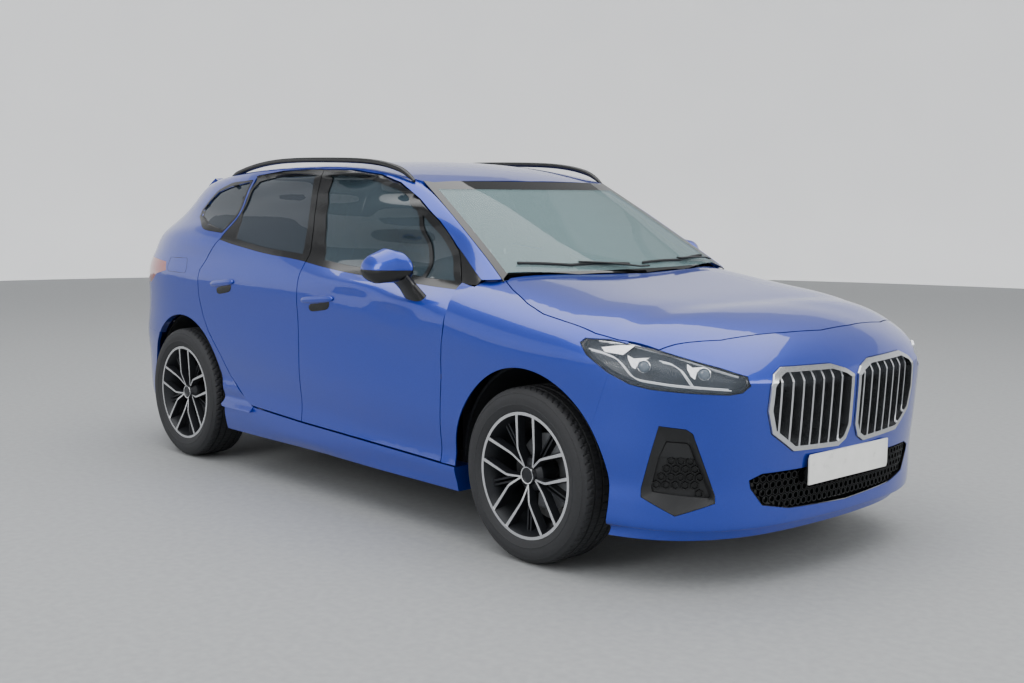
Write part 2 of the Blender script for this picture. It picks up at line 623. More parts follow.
TYRE_PROFILE = [(0.246, 0.093), (0.2475, 0.1005), (0.252, 0.1035), (0.262, 0.1075), (0.2725, 0.1108),
                (0.2735, 0.112), (0.2765, 0.112), (0.2775, 0.1112), (0.291, 0.1122), (0.304, 0.1112),
                (0.3155, 0.107), (0.3165, 0.1078), (0.3185, 0.107), (0.3195, 0.105), (0.328, 0.099),
                (0.3335, 0.094), (0.3367, 0.0885), (0.3388, 0.081)]
TYRE_LINER = [(0.246, -0.08), (0.256, -0.09), (0.3, -0.1), (0.325, -0.08), (0.33, 0.0), (0.325, 0.08),
              (0.3, 0.1), (0.256, 0.09), (0.246, 0.08)]
TREAD_GROOVES = (-0.058, -0.0205, 0.0205, 0.058)
TREAD_BLOCKS = 68
TREAD_HALF = 0.07
TREAD_CROWN = 0.0012
STEPS_PER_BLOCK = 7
NOTCH_DEPTH, SIPE_DEPTH = 0.0055, 0.003


def tread_profile(depth):
    """Crowned tread with four grooves, from its outer edge to its inner one, as (radius, outward) pairs."""
    out = [TREAD_HALF]
    for groove in reversed(TREAD_GROOVES):
        out += [groove + 0.0048, groove + 0.0036, groove - 0.0036, groove - 0.0048]
    out += [-TREAD_HALF]
    tread = np.array([(WHEEL_Z - TREAD_CROWN * (w / TREAD_HALF) ** 2, w) for w in out])
    low = np.min(np.abs(tread[:, 1:] - np.array(TREAD_GROOVES)), axis=1) < 0.004
    tread[low, 0] -= depth
    return tread


def make_tyre(end, hand, side, depth):
    """Tyre: its profile turned about the axle, with slanting notches in the shoulders and sipes between."""
    wall = np.array(TYRE_PROFILE)
    profile = np.concatenate([wall, tread_profile(depth), wall[::-1] * (1, -1), np.array(TYRE_LINER)])
    centre = (WHEEL_X[end], side * WHEEL_SIDE, WHEEL_Z)
    a = around(TREAD_BLOCKS * STEPS_PER_BLOCK)[None, :]
    r, w = profile.T[:, :, None]
    phase = (a * TREAD_BLOCKS / (2 * np.pi) + np.abs(w) * 22) % 1.0
    notch = (phase < 0.16) & (r > 0.332) & (np.abs(w) > 0.062) & (np.abs(w) < 0.09)
    sipe = (((phase + 0.5) % 1.0) < 0.15) & (r > 0.3392) & (np.abs(w) < 0.056)
    r = r - NOTCH_DEPTH * notch - SIPE_DEPTH * sipe
    y = np.broadcast_to(centre[1] + side * w, r.shape)
    made = np.stack([centre[0] + r * np.cos(a), y, centre[2] + r * np.sin(a)], -1)
    body, node = f"{hand}_{end}_wheel", f"tyre_{end}_{hand}"
    make(f"tread_and_walls_{end}_{hand}", Shape().grid(made, **HOOP), "rubber", body, "tyre", (node,), 28)


def make_wheels(settings):
    for end in ("front", "rear"):
        for hand, side in SIDES:
            make_wheel(end, hand, side, settings.spokes)
            make_tyre(end, hand, side, settings.tread_depth)


# ---------------------------------------------------------------- lamps
LAMP_VIEW = View((1.605, -0.875, 0), (0.836, 0.549, 0), (-0.549, 0.836, 0), "headlamps")
LAMP_OUTLINE = [(0.004, 0.877), (0.02, 0.892), (0.115, 0.893), (0.294, 0.865), (0.511, 0.807),
                (0.601, 0.777), (0.613, 0.747), (0.588, 0.725), (0.547, 0.719), (0.386, 0.729),
                (0.274, 0.737), (0.2, 0.751), (0.113, 0.788), (0.03, 0.842)]
LAMP_BROW = [(0.07, 0.884), (0.19, 0.877), (0.342, 0.845), (0.444, 0.814), (0.571, 0.774)]
PROJECTORS = ((0.249, 0.811), (0.457, 0.789))
BEZEL_PROFILE = [(0.0195, 0.0), (0.0235, 0.0), (0.0235, 0.01), (0.0215, 0.012), (0.0195, 0.01)]
LENS_PROFILE = [(0.0194, 0.0), (0.0194, 0.005), (0.0165, 0.010), (0.011, 0.0135), (0.005, 0.0148),
                (0.0003, 0.015)]
LAMP_WINGS = ([(0.085, 0.866), (0.15, 0.876), (0.212, 0.881), (0.17, 0.846), (0.1, 0.852)],
              [(0.186, 0.846), (0.21, 0.836), (0.266, 0.84), (0.23, 0.822), (0.219, 0.802), (0.206, 0.808),
               (0.19, 0.832)],
              [(0.396, 0.822), (0.416, 0.81), (0.456, 0.812), (0.432, 0.796), (0.428, 0.772), (0.414, 0.782),
               (0.398, 0.806)])
LAMP_FLOOR = 0.03  # how far the projectors and the brow lie under the lens
GUIDE_DEPTH, GUIDE_GAP, GUIDE_SECTION = 0.022, 0.011, (0.0042, 0.004)
LAMP_GUIDES = ([(0.036, 0.858), (0.09, 0.85), (0.14, 0.836), (0.165, 0.818), (0.2, 0.778), (0.226, 0.765),
                (0.34, 0.752), (0.44, 0.744)],
               [(0.3, 0.831), (0.34, 0.823), (0.375, 0.803), (0.394, 0.78), (0.416, 0.747), (0.54, 0.735)])


def shrunk(outline, margin):
    """An outline drawn in by a margin towards its middle."""
    outline = np.asarray(outline, float)
    arms = outline - outline.mean(0)
    return outline - arms * margin / np.linalg.norm(arms, axis=1, keepdims=True)


def loft(view, outlines, depths):
    """Rows of a hollow or a boss: one closed outline after another, each at its own depth under the skin."""
    return np.stack([view.at(line, depth) for line, depth in zip(outlines, depths)])


def rod(view, line, sunk, wide, high, steps=40):
    """A bar that follows a line on the skin at a depth, with an oval section."""
    path = view.at(curve(line, steps, 3), sunk)
    across = unit(np.cross(tangents(path), view.inward))
    return swept(path, oval(wide, high, 10), across, view.inward)


def round_part(view, place, sunk, profile, steps=48):
    """A turned part that faces out of the view: radius and height pairs round a place on the skin."""
    middle = view.at(np.array([place]), sunk)[0]
    a = around(steps)
    ring = np.cos(a)[:, None] * view.across + np.sin(a)[:, None] * view.up
    r, h = np.asarray(profile, float).T[:, :, None, None]
    return middle + r * ring - h * view.inward


def scaled(outline, *scales):
    """Copies of an outline drawn in towards its middle by scales."""
    middle = outline.mean(0)
    return [middle + (outline - middle) * s for s in scales]


def drawn_in(outline, *margins):
    """Copies of an outline drawn in by margins."""
    return [shrunk(outline, m) for m in margins]


def make_headlamps():
    """Dark housings with a black edge, and in each the bright wings, two projectors and twin light guides."""
    outline = closed_curve(LAMP_OUTLINE, 96, 1)
    rows = loft(LAMP_VIEW, drawn_in(outline, 0.0, 0.004, 0.007, 0.012), [0.0102, 0.012, 0.03, 0.05])
    middle = outline.mean(0)
    inner = [middle + (shrunk(outline, 0.012) - middle) * s for s in (0.8, 0.5, 0.2, 0.01)]
    floor = loft(LAMP_VIEW, inner, [0.056, 0.058, 0.058, 0.058])
    housing = Shape().both_sides(np.concatenate([rows, floor]), **DISH)
    make("headlamp_housings", housing, "lamp_black", "body", "black_plastic")
    edge = loft(LAMP_VIEW, drawn_in(outline, 0.0, 0.009, 0.009, 0.0), [0.0085, 0.0085, 0.0098, 0.0098])
    make("headlamp_edges", Shape().both_sides(edge, **HOOP), "gloss_black", "body", "gloss_black")
    chrome, guides, lenses = Shape(), Shape(), Shape()
    for wing in LAMP_WINGS:
        chrome.both_sides(loft(LAMP_VIEW, [wing, wing], [0.018, 0.024]), **TUBE)
    chrome.both_sides(rod(LAMP_VIEW, LAMP_BROW, LAMP_FLOOR, 0.011, 0.004), **TUBE)
    for place in PROJECTORS:
        chrome.both_sides(round_part(LAMP_VIEW, place, LAMP_FLOOR, BEZEL_PROFILE), **HOOP)
        lenses.both_sides(round_part(LAMP_VIEW, place, LAMP_FLOOR, LENS_PROFILE), **TUBE)
    for line in LAMP_GUIDES:
        for shift in (0.0, GUIDE_GAP):
            moved = np.array(line) + (shift * 0.9, -shift * 0.5)
            guides.both_sides(rod(LAMP_VIEW, moved, GUIDE_DEPTH, *GUIDE_SECTION, 56), **TUBE)
    make("headlamp_reflectors", chrome, "chrome", "body", "satin_silver")
    make("headlamp_projectors", lenses, "projector", "body", "lamp_lens")
    make("headlamp_light_guides", guides, "light_guide", "body", "lamp_lens")


REAR_VIEW = View((-2.0, 0, 0), (0, -1, 0), (1, 0, 0), "tailgate")
GATE_LAMP = [(0.655, 1.0), (0.64, 1.028), (0.5, 1.018), (0.43, 0.99), (0.415, 0.965), (0.5, 0.938),
             (0.6, 0.925), (0.66, 0.93)]
GATE_LAMP_GUIDE = [(0.64, 1.012), (0.5, 1.0), (0.44, 0.974), (0.5, 0.955), (0.64, 0.945)]


def make_rear_lamps():
    """The tailgate's part of each rear lamp, a low red dome with a lit line on it."""
    outline = closed_curve(GATE_LAMP, 64, 1)
    flat = drawn_in(outline, 0.0, 0.001, 0.005)
    middle = outline.mean(0)
    inner = [middle + (flat[2] - middle) * s for s in (0.6, 0.3, 0.01)]
    lens = loft(REAR_VIEW, flat + inner, [0.0005, -0.004, -0.006, -0.0065, -0.007, -0.007])
    make("tailgate_lamps", Shape().both_sides(lens, **DISH), "red_lens", "tailgate", "tail_lens")
    glow = Shape().both_sides(rod(REAR_VIEW, GATE_LAMP_GUIDE, -0.0075, 0.006, 0.003, 48), **TUBE)
    make("tailgate_light_guides", glow, "light_guide", "tailgate", "tail_lens")


# ---------------------------------------------------------------- nose
NOSE_VIEW = View((2.2, 0, 0), (0, 1, 0), (-1, 0, 0), "grille_black", "front_bumper")
VENT_VIEW = View((1.86, -0.816, 0), (0.735, 0.678, 0), (-0.678, 0.735, 0), "grille_black")
KIDNEY = [(0.014, 0.558), (0.014, 0.75), (0.051, 0.773), (0.126, 0.795), (0.384, 0.801), (0.438, 0.78),
          (0.465, 0.744), (0.471, 0.65), (0.446, 0.568), (0.336, 0.495), (0.083, 0.485), (0.04, 0.508)]
INTAKE = [(0, 0.421), (0.468, 0.421), (0.518, 0.402), (0.51, 0.373), (0.459, 0.309), (0.33, 0.283),
          (0, 0.269), (-0.33, 0.283), (-0.459, 0.309), (-0.51, 0.373), (-0.518, 0.402), (-0.468, 0.421)]
VENT = [(0.058, 0.605), (0.153, 0.596), (0.176, 0.581), (0.26, 0.356), (0.261, 0.328), (0.121, 0.284),
        (0.002, 0.345), (0.002, 0.373), (0.03, 0.494)]
VENT_FLOOR = [(0.086, 0.552), (0.158, 0.548), (0.17, 0.54), (0.246, 0.354), (0.247, 0.344), (0.146, 0.352),
              (0.04, 0.362), (0.037, 0.378), (0.058, 0.484)]


def honeycomb(cell, wide, high, offset=(0.0, 0.0)):
    """Middles of hexagons in staggered rows that fill a box, one cell apart."""
    rise = cell * math.sqrt(3) / 2
    columns, rows = int(wide / cell) + 2, int(high / rise) + 2
    i, j = np.meshgrid(np.arange(columns), np.arange(rows))
    return np.stack([offset[0] + (i + 0.5 * (j % 2)) * cell, offset[1] + j * rise], -1).reshape(-1, 2)


def inside(places, outline):
    """Which places lie in a closed outline: an upward ray crosses its sides an odd number of times."""
    x, y = places[:, None, 0], places[:, None, 1]
    x0, y0 = np.asarray(outline, float).T
    x1, y1 = np.roll(x0, -1), np.roll(y0, -1)
    level = np.where(x1 != x0, y0 + (x - x0) * (y1 - y0) / np.where(x1 != x0, x1 - x0, 1), 0)
    return (((x0 <= x) != (x1 <= x)) & (level > y)).sum(1) % 2 == 1


def hexagons(view, places, radius, wall, foot, top):
    """Raised hexagonal rims: foot, top and inner edge of each, on the skin at their depths."""
    a = np.arange(6) * np.pi / 3 + np.pi / 6
    ring = np.stack([np.cos(a), np.sin(a)], -1)
    radii = np.array([radius, radius - wall * 0.3, radius - wall * 0.7, radius - wall])
    flat = places[:, None, None] + radii[None, :, None, None] * ring[None, None]
    depth = np.broadcast_to(np.array([foot, top, top, foot])[None, :, None], flat.shape[:-1])
    return view.at(flat, depth)


KIDNEY_RAMP = [(0.016, 0.715), (0.016, 0.748), (0.052, 0.771), (0.127, 0.792), (0.383, 0.798),
               (0.436, 0.777), (0.462, 0.742), (0.464, 0.715)]
VENT_STEP = [(0.064, 0.494), (0.17, 0.49), (0.184, 0.488), (0.166, 0.536), (0.156, 0.543), (0.088, 0.546)]
VENT_CELL, INTAKE_CELL, CELL_RADIUS = 0.034, 0.03, 0.0165
VENT_MESH_TOP = 0.478
PLATE_HALF, PLATE_FOOT, PLATE_TOP = 0.26, 0.36, 0.471
PLATE_MIDDLE = (PLATE_FOOT + PLATE_TOP) / 2
GRILLE = "black_plastic", ("grille_black",)


def make_kidneys():
    """Dark backs of the two grilles, with a grey ramp behind the top of each."""
    kidney = closed_curve(KIDNEY, 96, 1)
    rows = [kidney, *drawn_in(kidney, 0.001, 0.004), *scaled(kidney, 0.75, 0.5, 0.25, 0.01)]
    backs = Shape().both_sides(loft(NOSE_VIEW, rows, [0.002, 0.006, 0.026, 0.03, 0.03, 0.03, 0.03]), **DISH)
    make("grille_backs", backs, "gloss_black", "body", *GRILLE)
    ramps = Shape().both_sides(loft(NOSE_VIEW, [KIDNEY_RAMP] * 2, [0.0, 0.02]), **TUBE)
    make("grille_back_ramps", ramps, "grey_plastic", "body", *GRILLE)


def make_vents():
    """Grained surround of each side vent, stepped down to its floor."""
    vent, floor = closed_curve(VENT, 90, 0), closed_curve(VENT_FLOOR, 90, 0)
    middle = floor.mean(0)
    rows = [vent, *drawn_in(vent, 0.0015, 0.006), floor, *drawn_in(floor, 0.001, 0.003)]
    rows += [middle + (shrunk(floor, 0.003) - middle) * s for s in (0.6, 0.3, 0.01)]
    surround = loft(VENT_VIEW, rows, [0.0, 0.0, 0.003, 0.016, 0.018] + [0.027] * 4)
    shape = Shape().both_sides(surround, **DISH)
    shape.both_sides(loft(VENT_VIEW, [VENT_STEP] * 2, [0.019, 0.026]), **TUBE)
    make("vent_surrounds", shape, "grained", "body", *GRILLE)


def make_intake():
    """Back of the lower intake, and the honeycomb in front of it and in the vents."""
    intake = closed_curve(INTAKE, 180, 0)
    middle = intake.mean(0)
    rows = [intake, *drawn_in(intake, 0.0015, 0.006)]
    rows += [middle + (shrunk(intake, 0.006) - middle) * s for s in (0.9, 0.6, 0.3, 0.01)]
    back = Shape().grid(loft(NOSE_VIEW, rows, [0.0, 0.001, 0.028, 0.03, 0.03, 0.03, 0.03]), **DISH)
    make("intake_back", back, "gloss_black", "body", *GRILLE)
    mesh = Shape()
    places = honeycomb(VENT_CELL, 0.26, 0.2, (0.02, 0.33))
    places = places[inside(places, shrunk(VENT_FLOOR, 0.018)) & (places[:, 1] < VENT_MESH_TOP)]
    for cell in hexagons(VENT_VIEW, places, CELL_RADIUS, 0.006, 0.0265, 0.018):
        mesh.both_sides(cell, **DISH)
    places = honeycomb(INTAKE_CELL, 1.06, 0.16, (-0.53, 0.272))
    places = places[inside(places, shrunk(INTAKE, 0.012))]
    for cell in hexagons(NOSE_VIEW, places, CELL_RADIUS, 0.0062, 0.018, 0.007):
        mesh.grid(cell, **DISH)
    make("honeycomb_mesh", mesh, "gloss_black", "body", *GRILLE)


def make_front_plate():
    """Blank front plate on its holder."""
    face = closed_curve([(-PLATE_HALF, PLATE_FOOT), (PLATE_HALF, PLATE_FOOT), (PLATE_HALF, PLATE_TOP),
                         (-PLATE_HALF, PLATE_TOP)], 64, 0)

    def rows(sizes):
        return np.stack([np.stack([np.full(64, x), face[:, 0] * s,
                                   PLATE_MIDDLE + (face[:, 1] - PLATE_MIDDLE) * t], -1)
                         for x, s, t in sizes])

    plate = rows([(2.176, 1, 1), (2.1815, 1, 1), (2.1822, 0.995, 0.995), (2.1822, 0.5, 0.5),
                  (2.1822, 0.01, 0.01)])
    make("front_plate", Shape().grid(plate, **TUBE), "plate", "body", "black_plastic")
    holder = rows([(2.14, 0.94, 0.8), (2.1757, 0.97, 0.9)])
    make("front_plate_holder", Shape().grid(holder, **TUBE), "grained", "body", "black_plastic")


# ---------------------------------------------------------------- sides
FLANK = View((0, -0.9, 0), (1, 0, 0), (0, 1, 0), "front_door_right", "rear_door_right", "front_wing_right",
             "body_side_right", "quarter_glass")
QUARTER_GLASS = [(-1.0, 1.212), (-1.178, 1.236), (-1.345, 1.278), (-1.382, 1.31), (-1.34, 1.356),
                 (-1.27, 1.402), (-1.16, 1.428), (-0.965, 1.455)]
HANDLES = (("front", -0.165, 0.092, 0.925), ("rear", -0.995, -0.768, 0.952))  # door, ends and height
HANDLE_SECTION, SLOT_SECTION = (0.032, 0.02), (0.05, 0.0012)


def make_handles():
    """Pull handles: an oval section carried along the skin, thinner towards its ends, over a dark slot."""
    t = np.linspace(-1, 1, 40)
    full = np.sqrt(np.clip(1 - np.abs(t) ** 5, 0, 1)) * 0.98 + 0.02
    for end, back, ahead, height in HANDLES:
        line = np.stack([(back + ahead) / 2 + t * (ahead - back) / 2, height + 0.012 * t], -1)
        path = FLANK.at(line, -0.004)
        section = oval(1, 1, 20, 2.6)[None] * (full[:, None, None] * np.array(HANDLE_SECTION))
        bar = swept(path, section, (0, 0, 1), (0, 1, 0))
        cup = line * (0.66, 1) + ((back + ahead) * 0.17 + 0.012, -0.026)
        flat = oval(1, 1, 12)[None] * (full[:, None, None] * np.array(SLOT_SECTION))
        gap = swept(FLANK.at(cup, -0.0002), flat, (0, 0, 1), (0, 1, 0))
        for hand, side in SIDES:
            body = f"{hand}_{end}_door"
            flip = (1, -side, 1)
            make(f"{end}_handle_{hand}", Shape().grid(bar * flip, **TUBE), "paint", body, "paint")
            slot = Shape().grid(gap * flip, **TUBE)
            make(f"{end}_handle_slot_{hand}", slot, "gloss_black", body, "gloss_black")


MIRROR_FOOT = [(0.6, -0.93, 1.07), (0.61, -0.905, 1.04), (0.632, -0.885, 1.0), (0.65, -0.866, 0.965)]


def make_mirrors():
    """Door mirrors: rounded sections that change from end to end, a glass let in behind, and a swept foot."""
    t = np.linspace(0, 1, 36)
    y = -0.888 - 0.1505 * t
    x = 0.612 - 0.102 * t
    top = np.interp(t, [0, 0.22, 0.45, 0.8, 1], [1.135, 1.168, 1.177, 1.148, 1.12])
    low = np.interp(t, [0, 0.3, 0.8, 1], [1.062, 1.046, 1.036, 1.05])
    deep = np.interp(t, [0, 0.5, 1], [0.07, 0.076, 0.058])
    close = np.clip(1 - np.abs(2 * t - 1) ** 7, 0, 1) ** 0.5 * 0.98 + 0.02
    section = oval(1, 1, 40, 2.7)[None] * np.stack([deep * close * 2, (top - low) * close], -1)[:, None]
    section[..., 0] = np.maximum(section[..., 0], -0.6 * deep[:, None])
    path = np.stack([x, y, (top + low) / 2], -1)
    shell = swept(path, section, unit((1, 0, -0.12)), (0, 0, 1))
    rim = oval(0.118, 0.088, 48, 3.4)
    middle = np.array([0.561 - 0.6 * 0.074, -0.9625, 1.1])
    across, outward = unit((-0.68, -1, 0)), unit((-1, 0.68, 0))
    glass = np.stack([middle + rim[:, :1] * s * across + rim[:, 1:] * s * np.array([0, 0, 1]) + outward * d
                      for d, s in ((-0.004, 1.0), (0.0012, 1.0), (0.0018, 0.98), (0.0018, 0.5),
                                   (0.0018, 0.01))])
    line = curve(MIRROR_FOOT, 20, 3)
    grow = np.interp(np.arange(20), [0, 8, 19], [1.1, 0.95, 1.15])
    foot = swept(line, oval(0.1, 0.05, 20, 3)[None] * grow[:, None, None], (1, 0, 0), unit((0, 0.6, 0.8)))
    for hand, side in SIDES:
        flip = (1, -side, 1)
        body = f"{hand}_front_door"
        case = Shape().grid(shell * flip, **TUBE)
        case.grid(foot * flip, **TUBE)
        make(f"mirror_case_{hand}", case, "mirror", body, "paint", (f"mirror_{hand}",), 50)
        pane = Shape().grid(glass * flip, **TUBE)
        make(f"mirror_glass_{hand}", pane, "chrome", body, "lamp_lens", (f"mirror_{hand}",))


FUEL_FLAP = [(-1.49, 1.0), (-1.478, 1.056), (-1.28, 1.06), (-1.262, 1.0), (-1.276, 0.98), (-1.468, 0.98)]


def make_sides():
    """Handles, mirrors, the black seals round the quarter windows and the joint round the fuel flap."""
    make_handles()
    make_mirrors()
    flap = closed_curve(FUEL_FLAP, 80, 2)
    ring = loft(FLANK, drawn_in(flap, 0.0, 0.0, 0.003, 0.003), [0.0002, -0.0004, -0.0004, 0.0002])
    margins = (-0.024, -0.024, -0.02, -0.016, -0.012, -0.008, -0.004, 0.0, 0.002)
    depths = [0.001, -0.0012, *[-0.0015] * 5, -0.0012, 0.001]
    seal = loft(FLANK, drawn_in(closed_curve(QUARTER_GLASS, 120, 1), *margins), depths)
    make("quarter_window_seals", Shape().both_sides(seal, **DISH), "gloss_black", "body", "gloss_black")
    make("fuel_flap_seal", Shape().grid(ring, **HOOP), "gloss_black", "body", "gloss_black")


# ---------------------------------------------------------------- roof and screen
ROOF_VIEW = View((0, 0, 1.5), (0, 1, 0), (0, 0, -1), "roof_rails")
SCREEN_VIEW = View((0, 0, 1.4), (0, 1, 0), (0, 0, -1), "windscreen")
COWL = [(0.0, 1.118), (0.35, 1.077), (0.59, 0.995)]


def make_rails():
    """Slim rails over the solid ones: plan and height are curves fitted to the solids' own points."""
    points = coordinates(NODES["roof_rails"].data.vertices)
    points = points[points[:, 1] < 0]
    ends = points[:, 0].min(), points[:, 0].max()
    t = np.linspace(0, 1, 90)
    x = ends[0] + 0.004 + (ends[1] - ends[0] - 0.008) * t
    plan = np.polynomial.Polynomial.fit(points[:, 0], points[:, 1], 4)(x)
    top = np.polynomial.Polynomial.fit(points[:, 0], ROOF_VIEW.at(points[:, 1::-1])[:, 2], 6)(x)
    low = np.minimum(np.clip(t / 0.05, 0, 1), np.clip((1 - t) / 0.07, 0, 1))
    path = np.stack([x, plan, top - 0.015 - 0.016 * (1 - low) ** 2], -1)
    section = oval(0.03, 0.026, 20, 3)[None] * (0.45 + 0.55 * low ** 0.5)[:, None, None]
    rails = Shape().both_sides(swept(path, section, (0, 1, 0), (0, 0, 1)), **TUBE)
    make("slim_roof_rails", rails, "gloss_black", "body", "gloss_black", ("roof_rails",))


def make_wipers():
    """Two wipers, each a blade along the foot of the screen and an arm to the blade's middle."""
    wipers = Shape()
    for inner, outer, pivot in ((-0.03, -0.58, 0.06), (0.6, 0.06, 0.62)):
        for ends, steps, drop_back, slope, lift, section in (
                ((inner, outer), 40, 0.05, 0.0, 0.0075, oval(0.011, 0.012, 8)),
                ((pivot, (inner + outer) / 2), 30, 0.012, 0.038, 0.0185, oval(0.016, 0.008, 8))):
            y = np.linspace(*ends, steps)
            x = np.interp(np.abs(y), *np.array(COWL).T) - drop_back - slope * np.linspace(0, 1, steps)
            path = SCREEN_VIEW.at(np.stack([y, x], -1), -lift)
            wipers.grid(swept(path, section, (1, 0, 0), (0, 0, 1)), **TUBE)
    make("wipers", wipers, "grained", "body", "black_plastic")


SENSOR_POD = [(-0.075, 0.335), (0.075, 0.335), (0.055, 0.46), (0.02, 0.5), (-0.02, 0.5), (-0.055, 0.46)]


def make_top():
    """Roof rails, wipers, the sensor housing behind the screen and the headlining."""
    make_rails()
    make_wipers()
    pod = closed_curve(SENSOR_POD, 48, 2)
    housing = loft(SCREEN_VIEW, [pod, pod, shrunk(pod, 0.012), *scaled(pod, 0.01)],
                   [0.012, 0.03, 0.05, 0.055])
    make("sensor_housing", Shape().grid(housing, **TUBE), "grained", "body", "black_plastic")
    under = View((0, 0, 1.0), (0, 1, 0), (0, 0, 1), "roof_panel")
    y, x = np.meshgrid(np.linspace(-0.54, 0.54, 24), np.linspace(-1.28, 0.33, 36))
    make("headlining", Shape().grid(under.at(np.stack([y, x], -1), -0.012)), "lining", "body",
         "cabin_plastic")


# ---------------------------------------------------------------- tail
BUMPER_VIEW = View((-2.0, 0, 0), (0, -1, 0), (1, 0, 0), "rear_bumper", "tailgate")
GATE_GLASS = View((-1.9, 0, 0), (0, -1, 0), (1, 0, 0), "tailgate_glass", "tailgate")


LOWER_PANEL = [(-0.6, 0.345), (0.6, 0.345), (0.64, 0.3), (0.56, 0.215), (-0.56, 0.215), (-0.64, 0.3)]


def make_tail():
    """Lower panel with its ribs, the blank rear plate and the rear wiper."""
    panel = closed_curve(LOWER_PANEL, 120, 0)
    rows = [panel, *drawn_in(panel, 0.002, 0.008), *scaled(panel, 0.7, 0.35, 0.01)]
    shape = Shape().grid(loft(BUMPER_VIEW, rows, [0.001, -0.004, -0.005, -0.005, -0.005, -0.005]), **DISH)
    for y in np.linspace(-0.4, 0.4, 7):
        shape.grid(rod(BUMPER_VIEW, [(y, 0.325), (y, 0.235)], -0.006, 0.008, 0.008, 12), **TUBE)
    make("rear_lower_panel", shape, "grained", "body", "black_plastic")
    face = closed_curve([(-PLATE_HALF, 0.742), (PLATE_HALF, 0.742), (PLATE_HALF, 0.853),
                         (-PLATE_HALF, 0.853)], 64, 0)
    rows = [face, face, shrunk(face, 0.002), *scaled(face, 0.5, 0.01)]
    plate = loft(REAR_VIEW, rows, [0.0, -0.004, -0.0045, -0.0045, -0.0045])
    make("rear_plate", Shape().grid(plate, **TUBE), "plate", "tailgate", "black_plastic")
    holder = rod(GATE_GLASS, [(0.0, 1.14), (-0.12, 1.16), (-0.3, 1.19)], -0.012, 0.014, 0.01, 30)
    blade = rod(GATE_GLASS, [(-0.08, 1.165), (-0.38, 1.215)], -0.006, 0.009, 0.008, 30)
    wiper = Shape().grid(holder, **TUBE).grid(blade, **TUBE)
    make("rear_wiper", wiper, "grained", "tailgate", "black_plastic")


# ---------------------------------------------------------------- cabin
COLUMN_TILT = math.radians(25)
WHEEL_MIDDLE = np.array([0.505, -0.37, 0.905])


def tilted(points, middle, angle):
    """Points turned about the car's sideways axis, then moved to their middle."""
    x, y, z = np.moveaxis(np.asarray(points, float), -1, 0)
    c, s = math.cos(angle), math.sin(angle)
    return np.asarray(middle) + np.stack([x * c + z * s, y, z * c - x * s], -1)


RIM_RADIUS = 0.172
RIM_FRONT = 0.012


def steering_rim():
    """Leather rim: a round section carried along a circle, fatter at the grips, in the wheel's own plane."""
    a = around(96)
    fat = 0.0155 + 0.0025 * np.abs(np.cos(a)) ** 6
    b = around(16)
    radius = RIM_RADIUS + fat[:, None] * np.cos(b)
    return np.stack([RIM_FRONT + fat[:, None] * np.sin(b), radius * np.cos(a)[:, None],
                     radius * np.sin(a)[:, None]], -1)


def make_steering_wheel():
    """Rim, three spokes and the boss, all leaned back with the column."""
    rim = Shape().grid(tilted(steering_rim(), WHEEL_MIDDLE, COLUMN_TILT), **HOOP)
    reach = np.linspace(0.05, 0.165, 14)
    wide = np.interp(np.arange(14), [0, 13], [0.05, 0.028])
    section = oval(1, 1, 14, 3)[None] * np.stack([wide, np.full(14, 0.014)], -1)[:, None]
    for angle in (0, math.pi, -math.pi / 2):
        path = np.stack([np.full(14, RIM_FRONT), reach * math.cos(angle), reach * math.sin(angle)], -1)
        spoke = swept(path, section, (0, -math.sin(angle), math.cos(angle)), (1, 0, 0))
        rim.grid(tilted(spoke, WHEEL_MIDDLE, COLUMN_TILT), **TUBE)
    section = oval(0.15, 0.12, 40, 3)
    boss = np.stack([np.stack([np.full(40, x), section[:, 0] * s, section[:, 1] * s], -1)
                     for x, s in ((0.03, 0.8), (0.0, 1.0), (-0.006, 0.97), (-0.011, 0.7), (-0.013, 0.02))])
    rim.grid(tilted(boss, WHEEL_MIDDLE, COLUMN_TILT), **TUBE)
    make("leather_steering_wheel", rim, "leather", "steering_wheel", "wheel_leather", ("steering_wheel",))


def make_vent_frames():
    """Satin frames and slats of the three air vents along the dashboard."""
    dash = View((0.3, 0, 0), (0, -1, 0), (1, 0, 0), "dashboard")
    vents = Shape()
    for y in (0.6, 0.0, -0.6):
        outline = closed_curve([(y - 0.07, 0.845), (y + 0.07, 0.845), (y + 0.065, 0.89), (y - 0.065, 0.89)],
                               40, 1)
        vents.grid(loft(dash, drawn_in(outline, 0.0, 0.001, 0.006, 0.008), [0.001, -0.006, -0.006, 0.001]),
                   **TUBE)
        for z in (0.857, 0.867, 0.877):
            vents.grid(rod(dash, [(y - 0.055, z), (y + 0.055, z)], -0.004, 0.003, 0.006, 12), **TUBE)
    make("air_vents", vents, "satin", "body", "cabin_plastic")


def make_cabin():
    """Steering wheel, curved display panel, air vents and the console between the seats."""
    make_steering_wheel()
    t = np.linspace(-1, 1, 40)
    line = np.stack([0.645 + 0.02 * t * t, -0.24 + 0.34 * t, np.ones(40)], -1)
    panel = Shape().grid(swept(line, oval(0.014, 0.12, 24, 5), (1, 0, 0), (0.16, 0, 0.98)), **TUBE)
    make("display_panel", panel, "gloss_black", "body", "cabin_plastic")
    make_vent_frames()
    line = curve([(0.2, 0, 0.363), (0.5, 0, 0.39), (0.62, 0, 0.45)], 16, 2)
    console = Shape().grid(swept(line, oval(0.2, 0.12, 32, 4), (0, 1, 0), (0, 0, 1)), **TUBE)
    make("centre_console", console, "cabin", "body", "cabin_plastic")


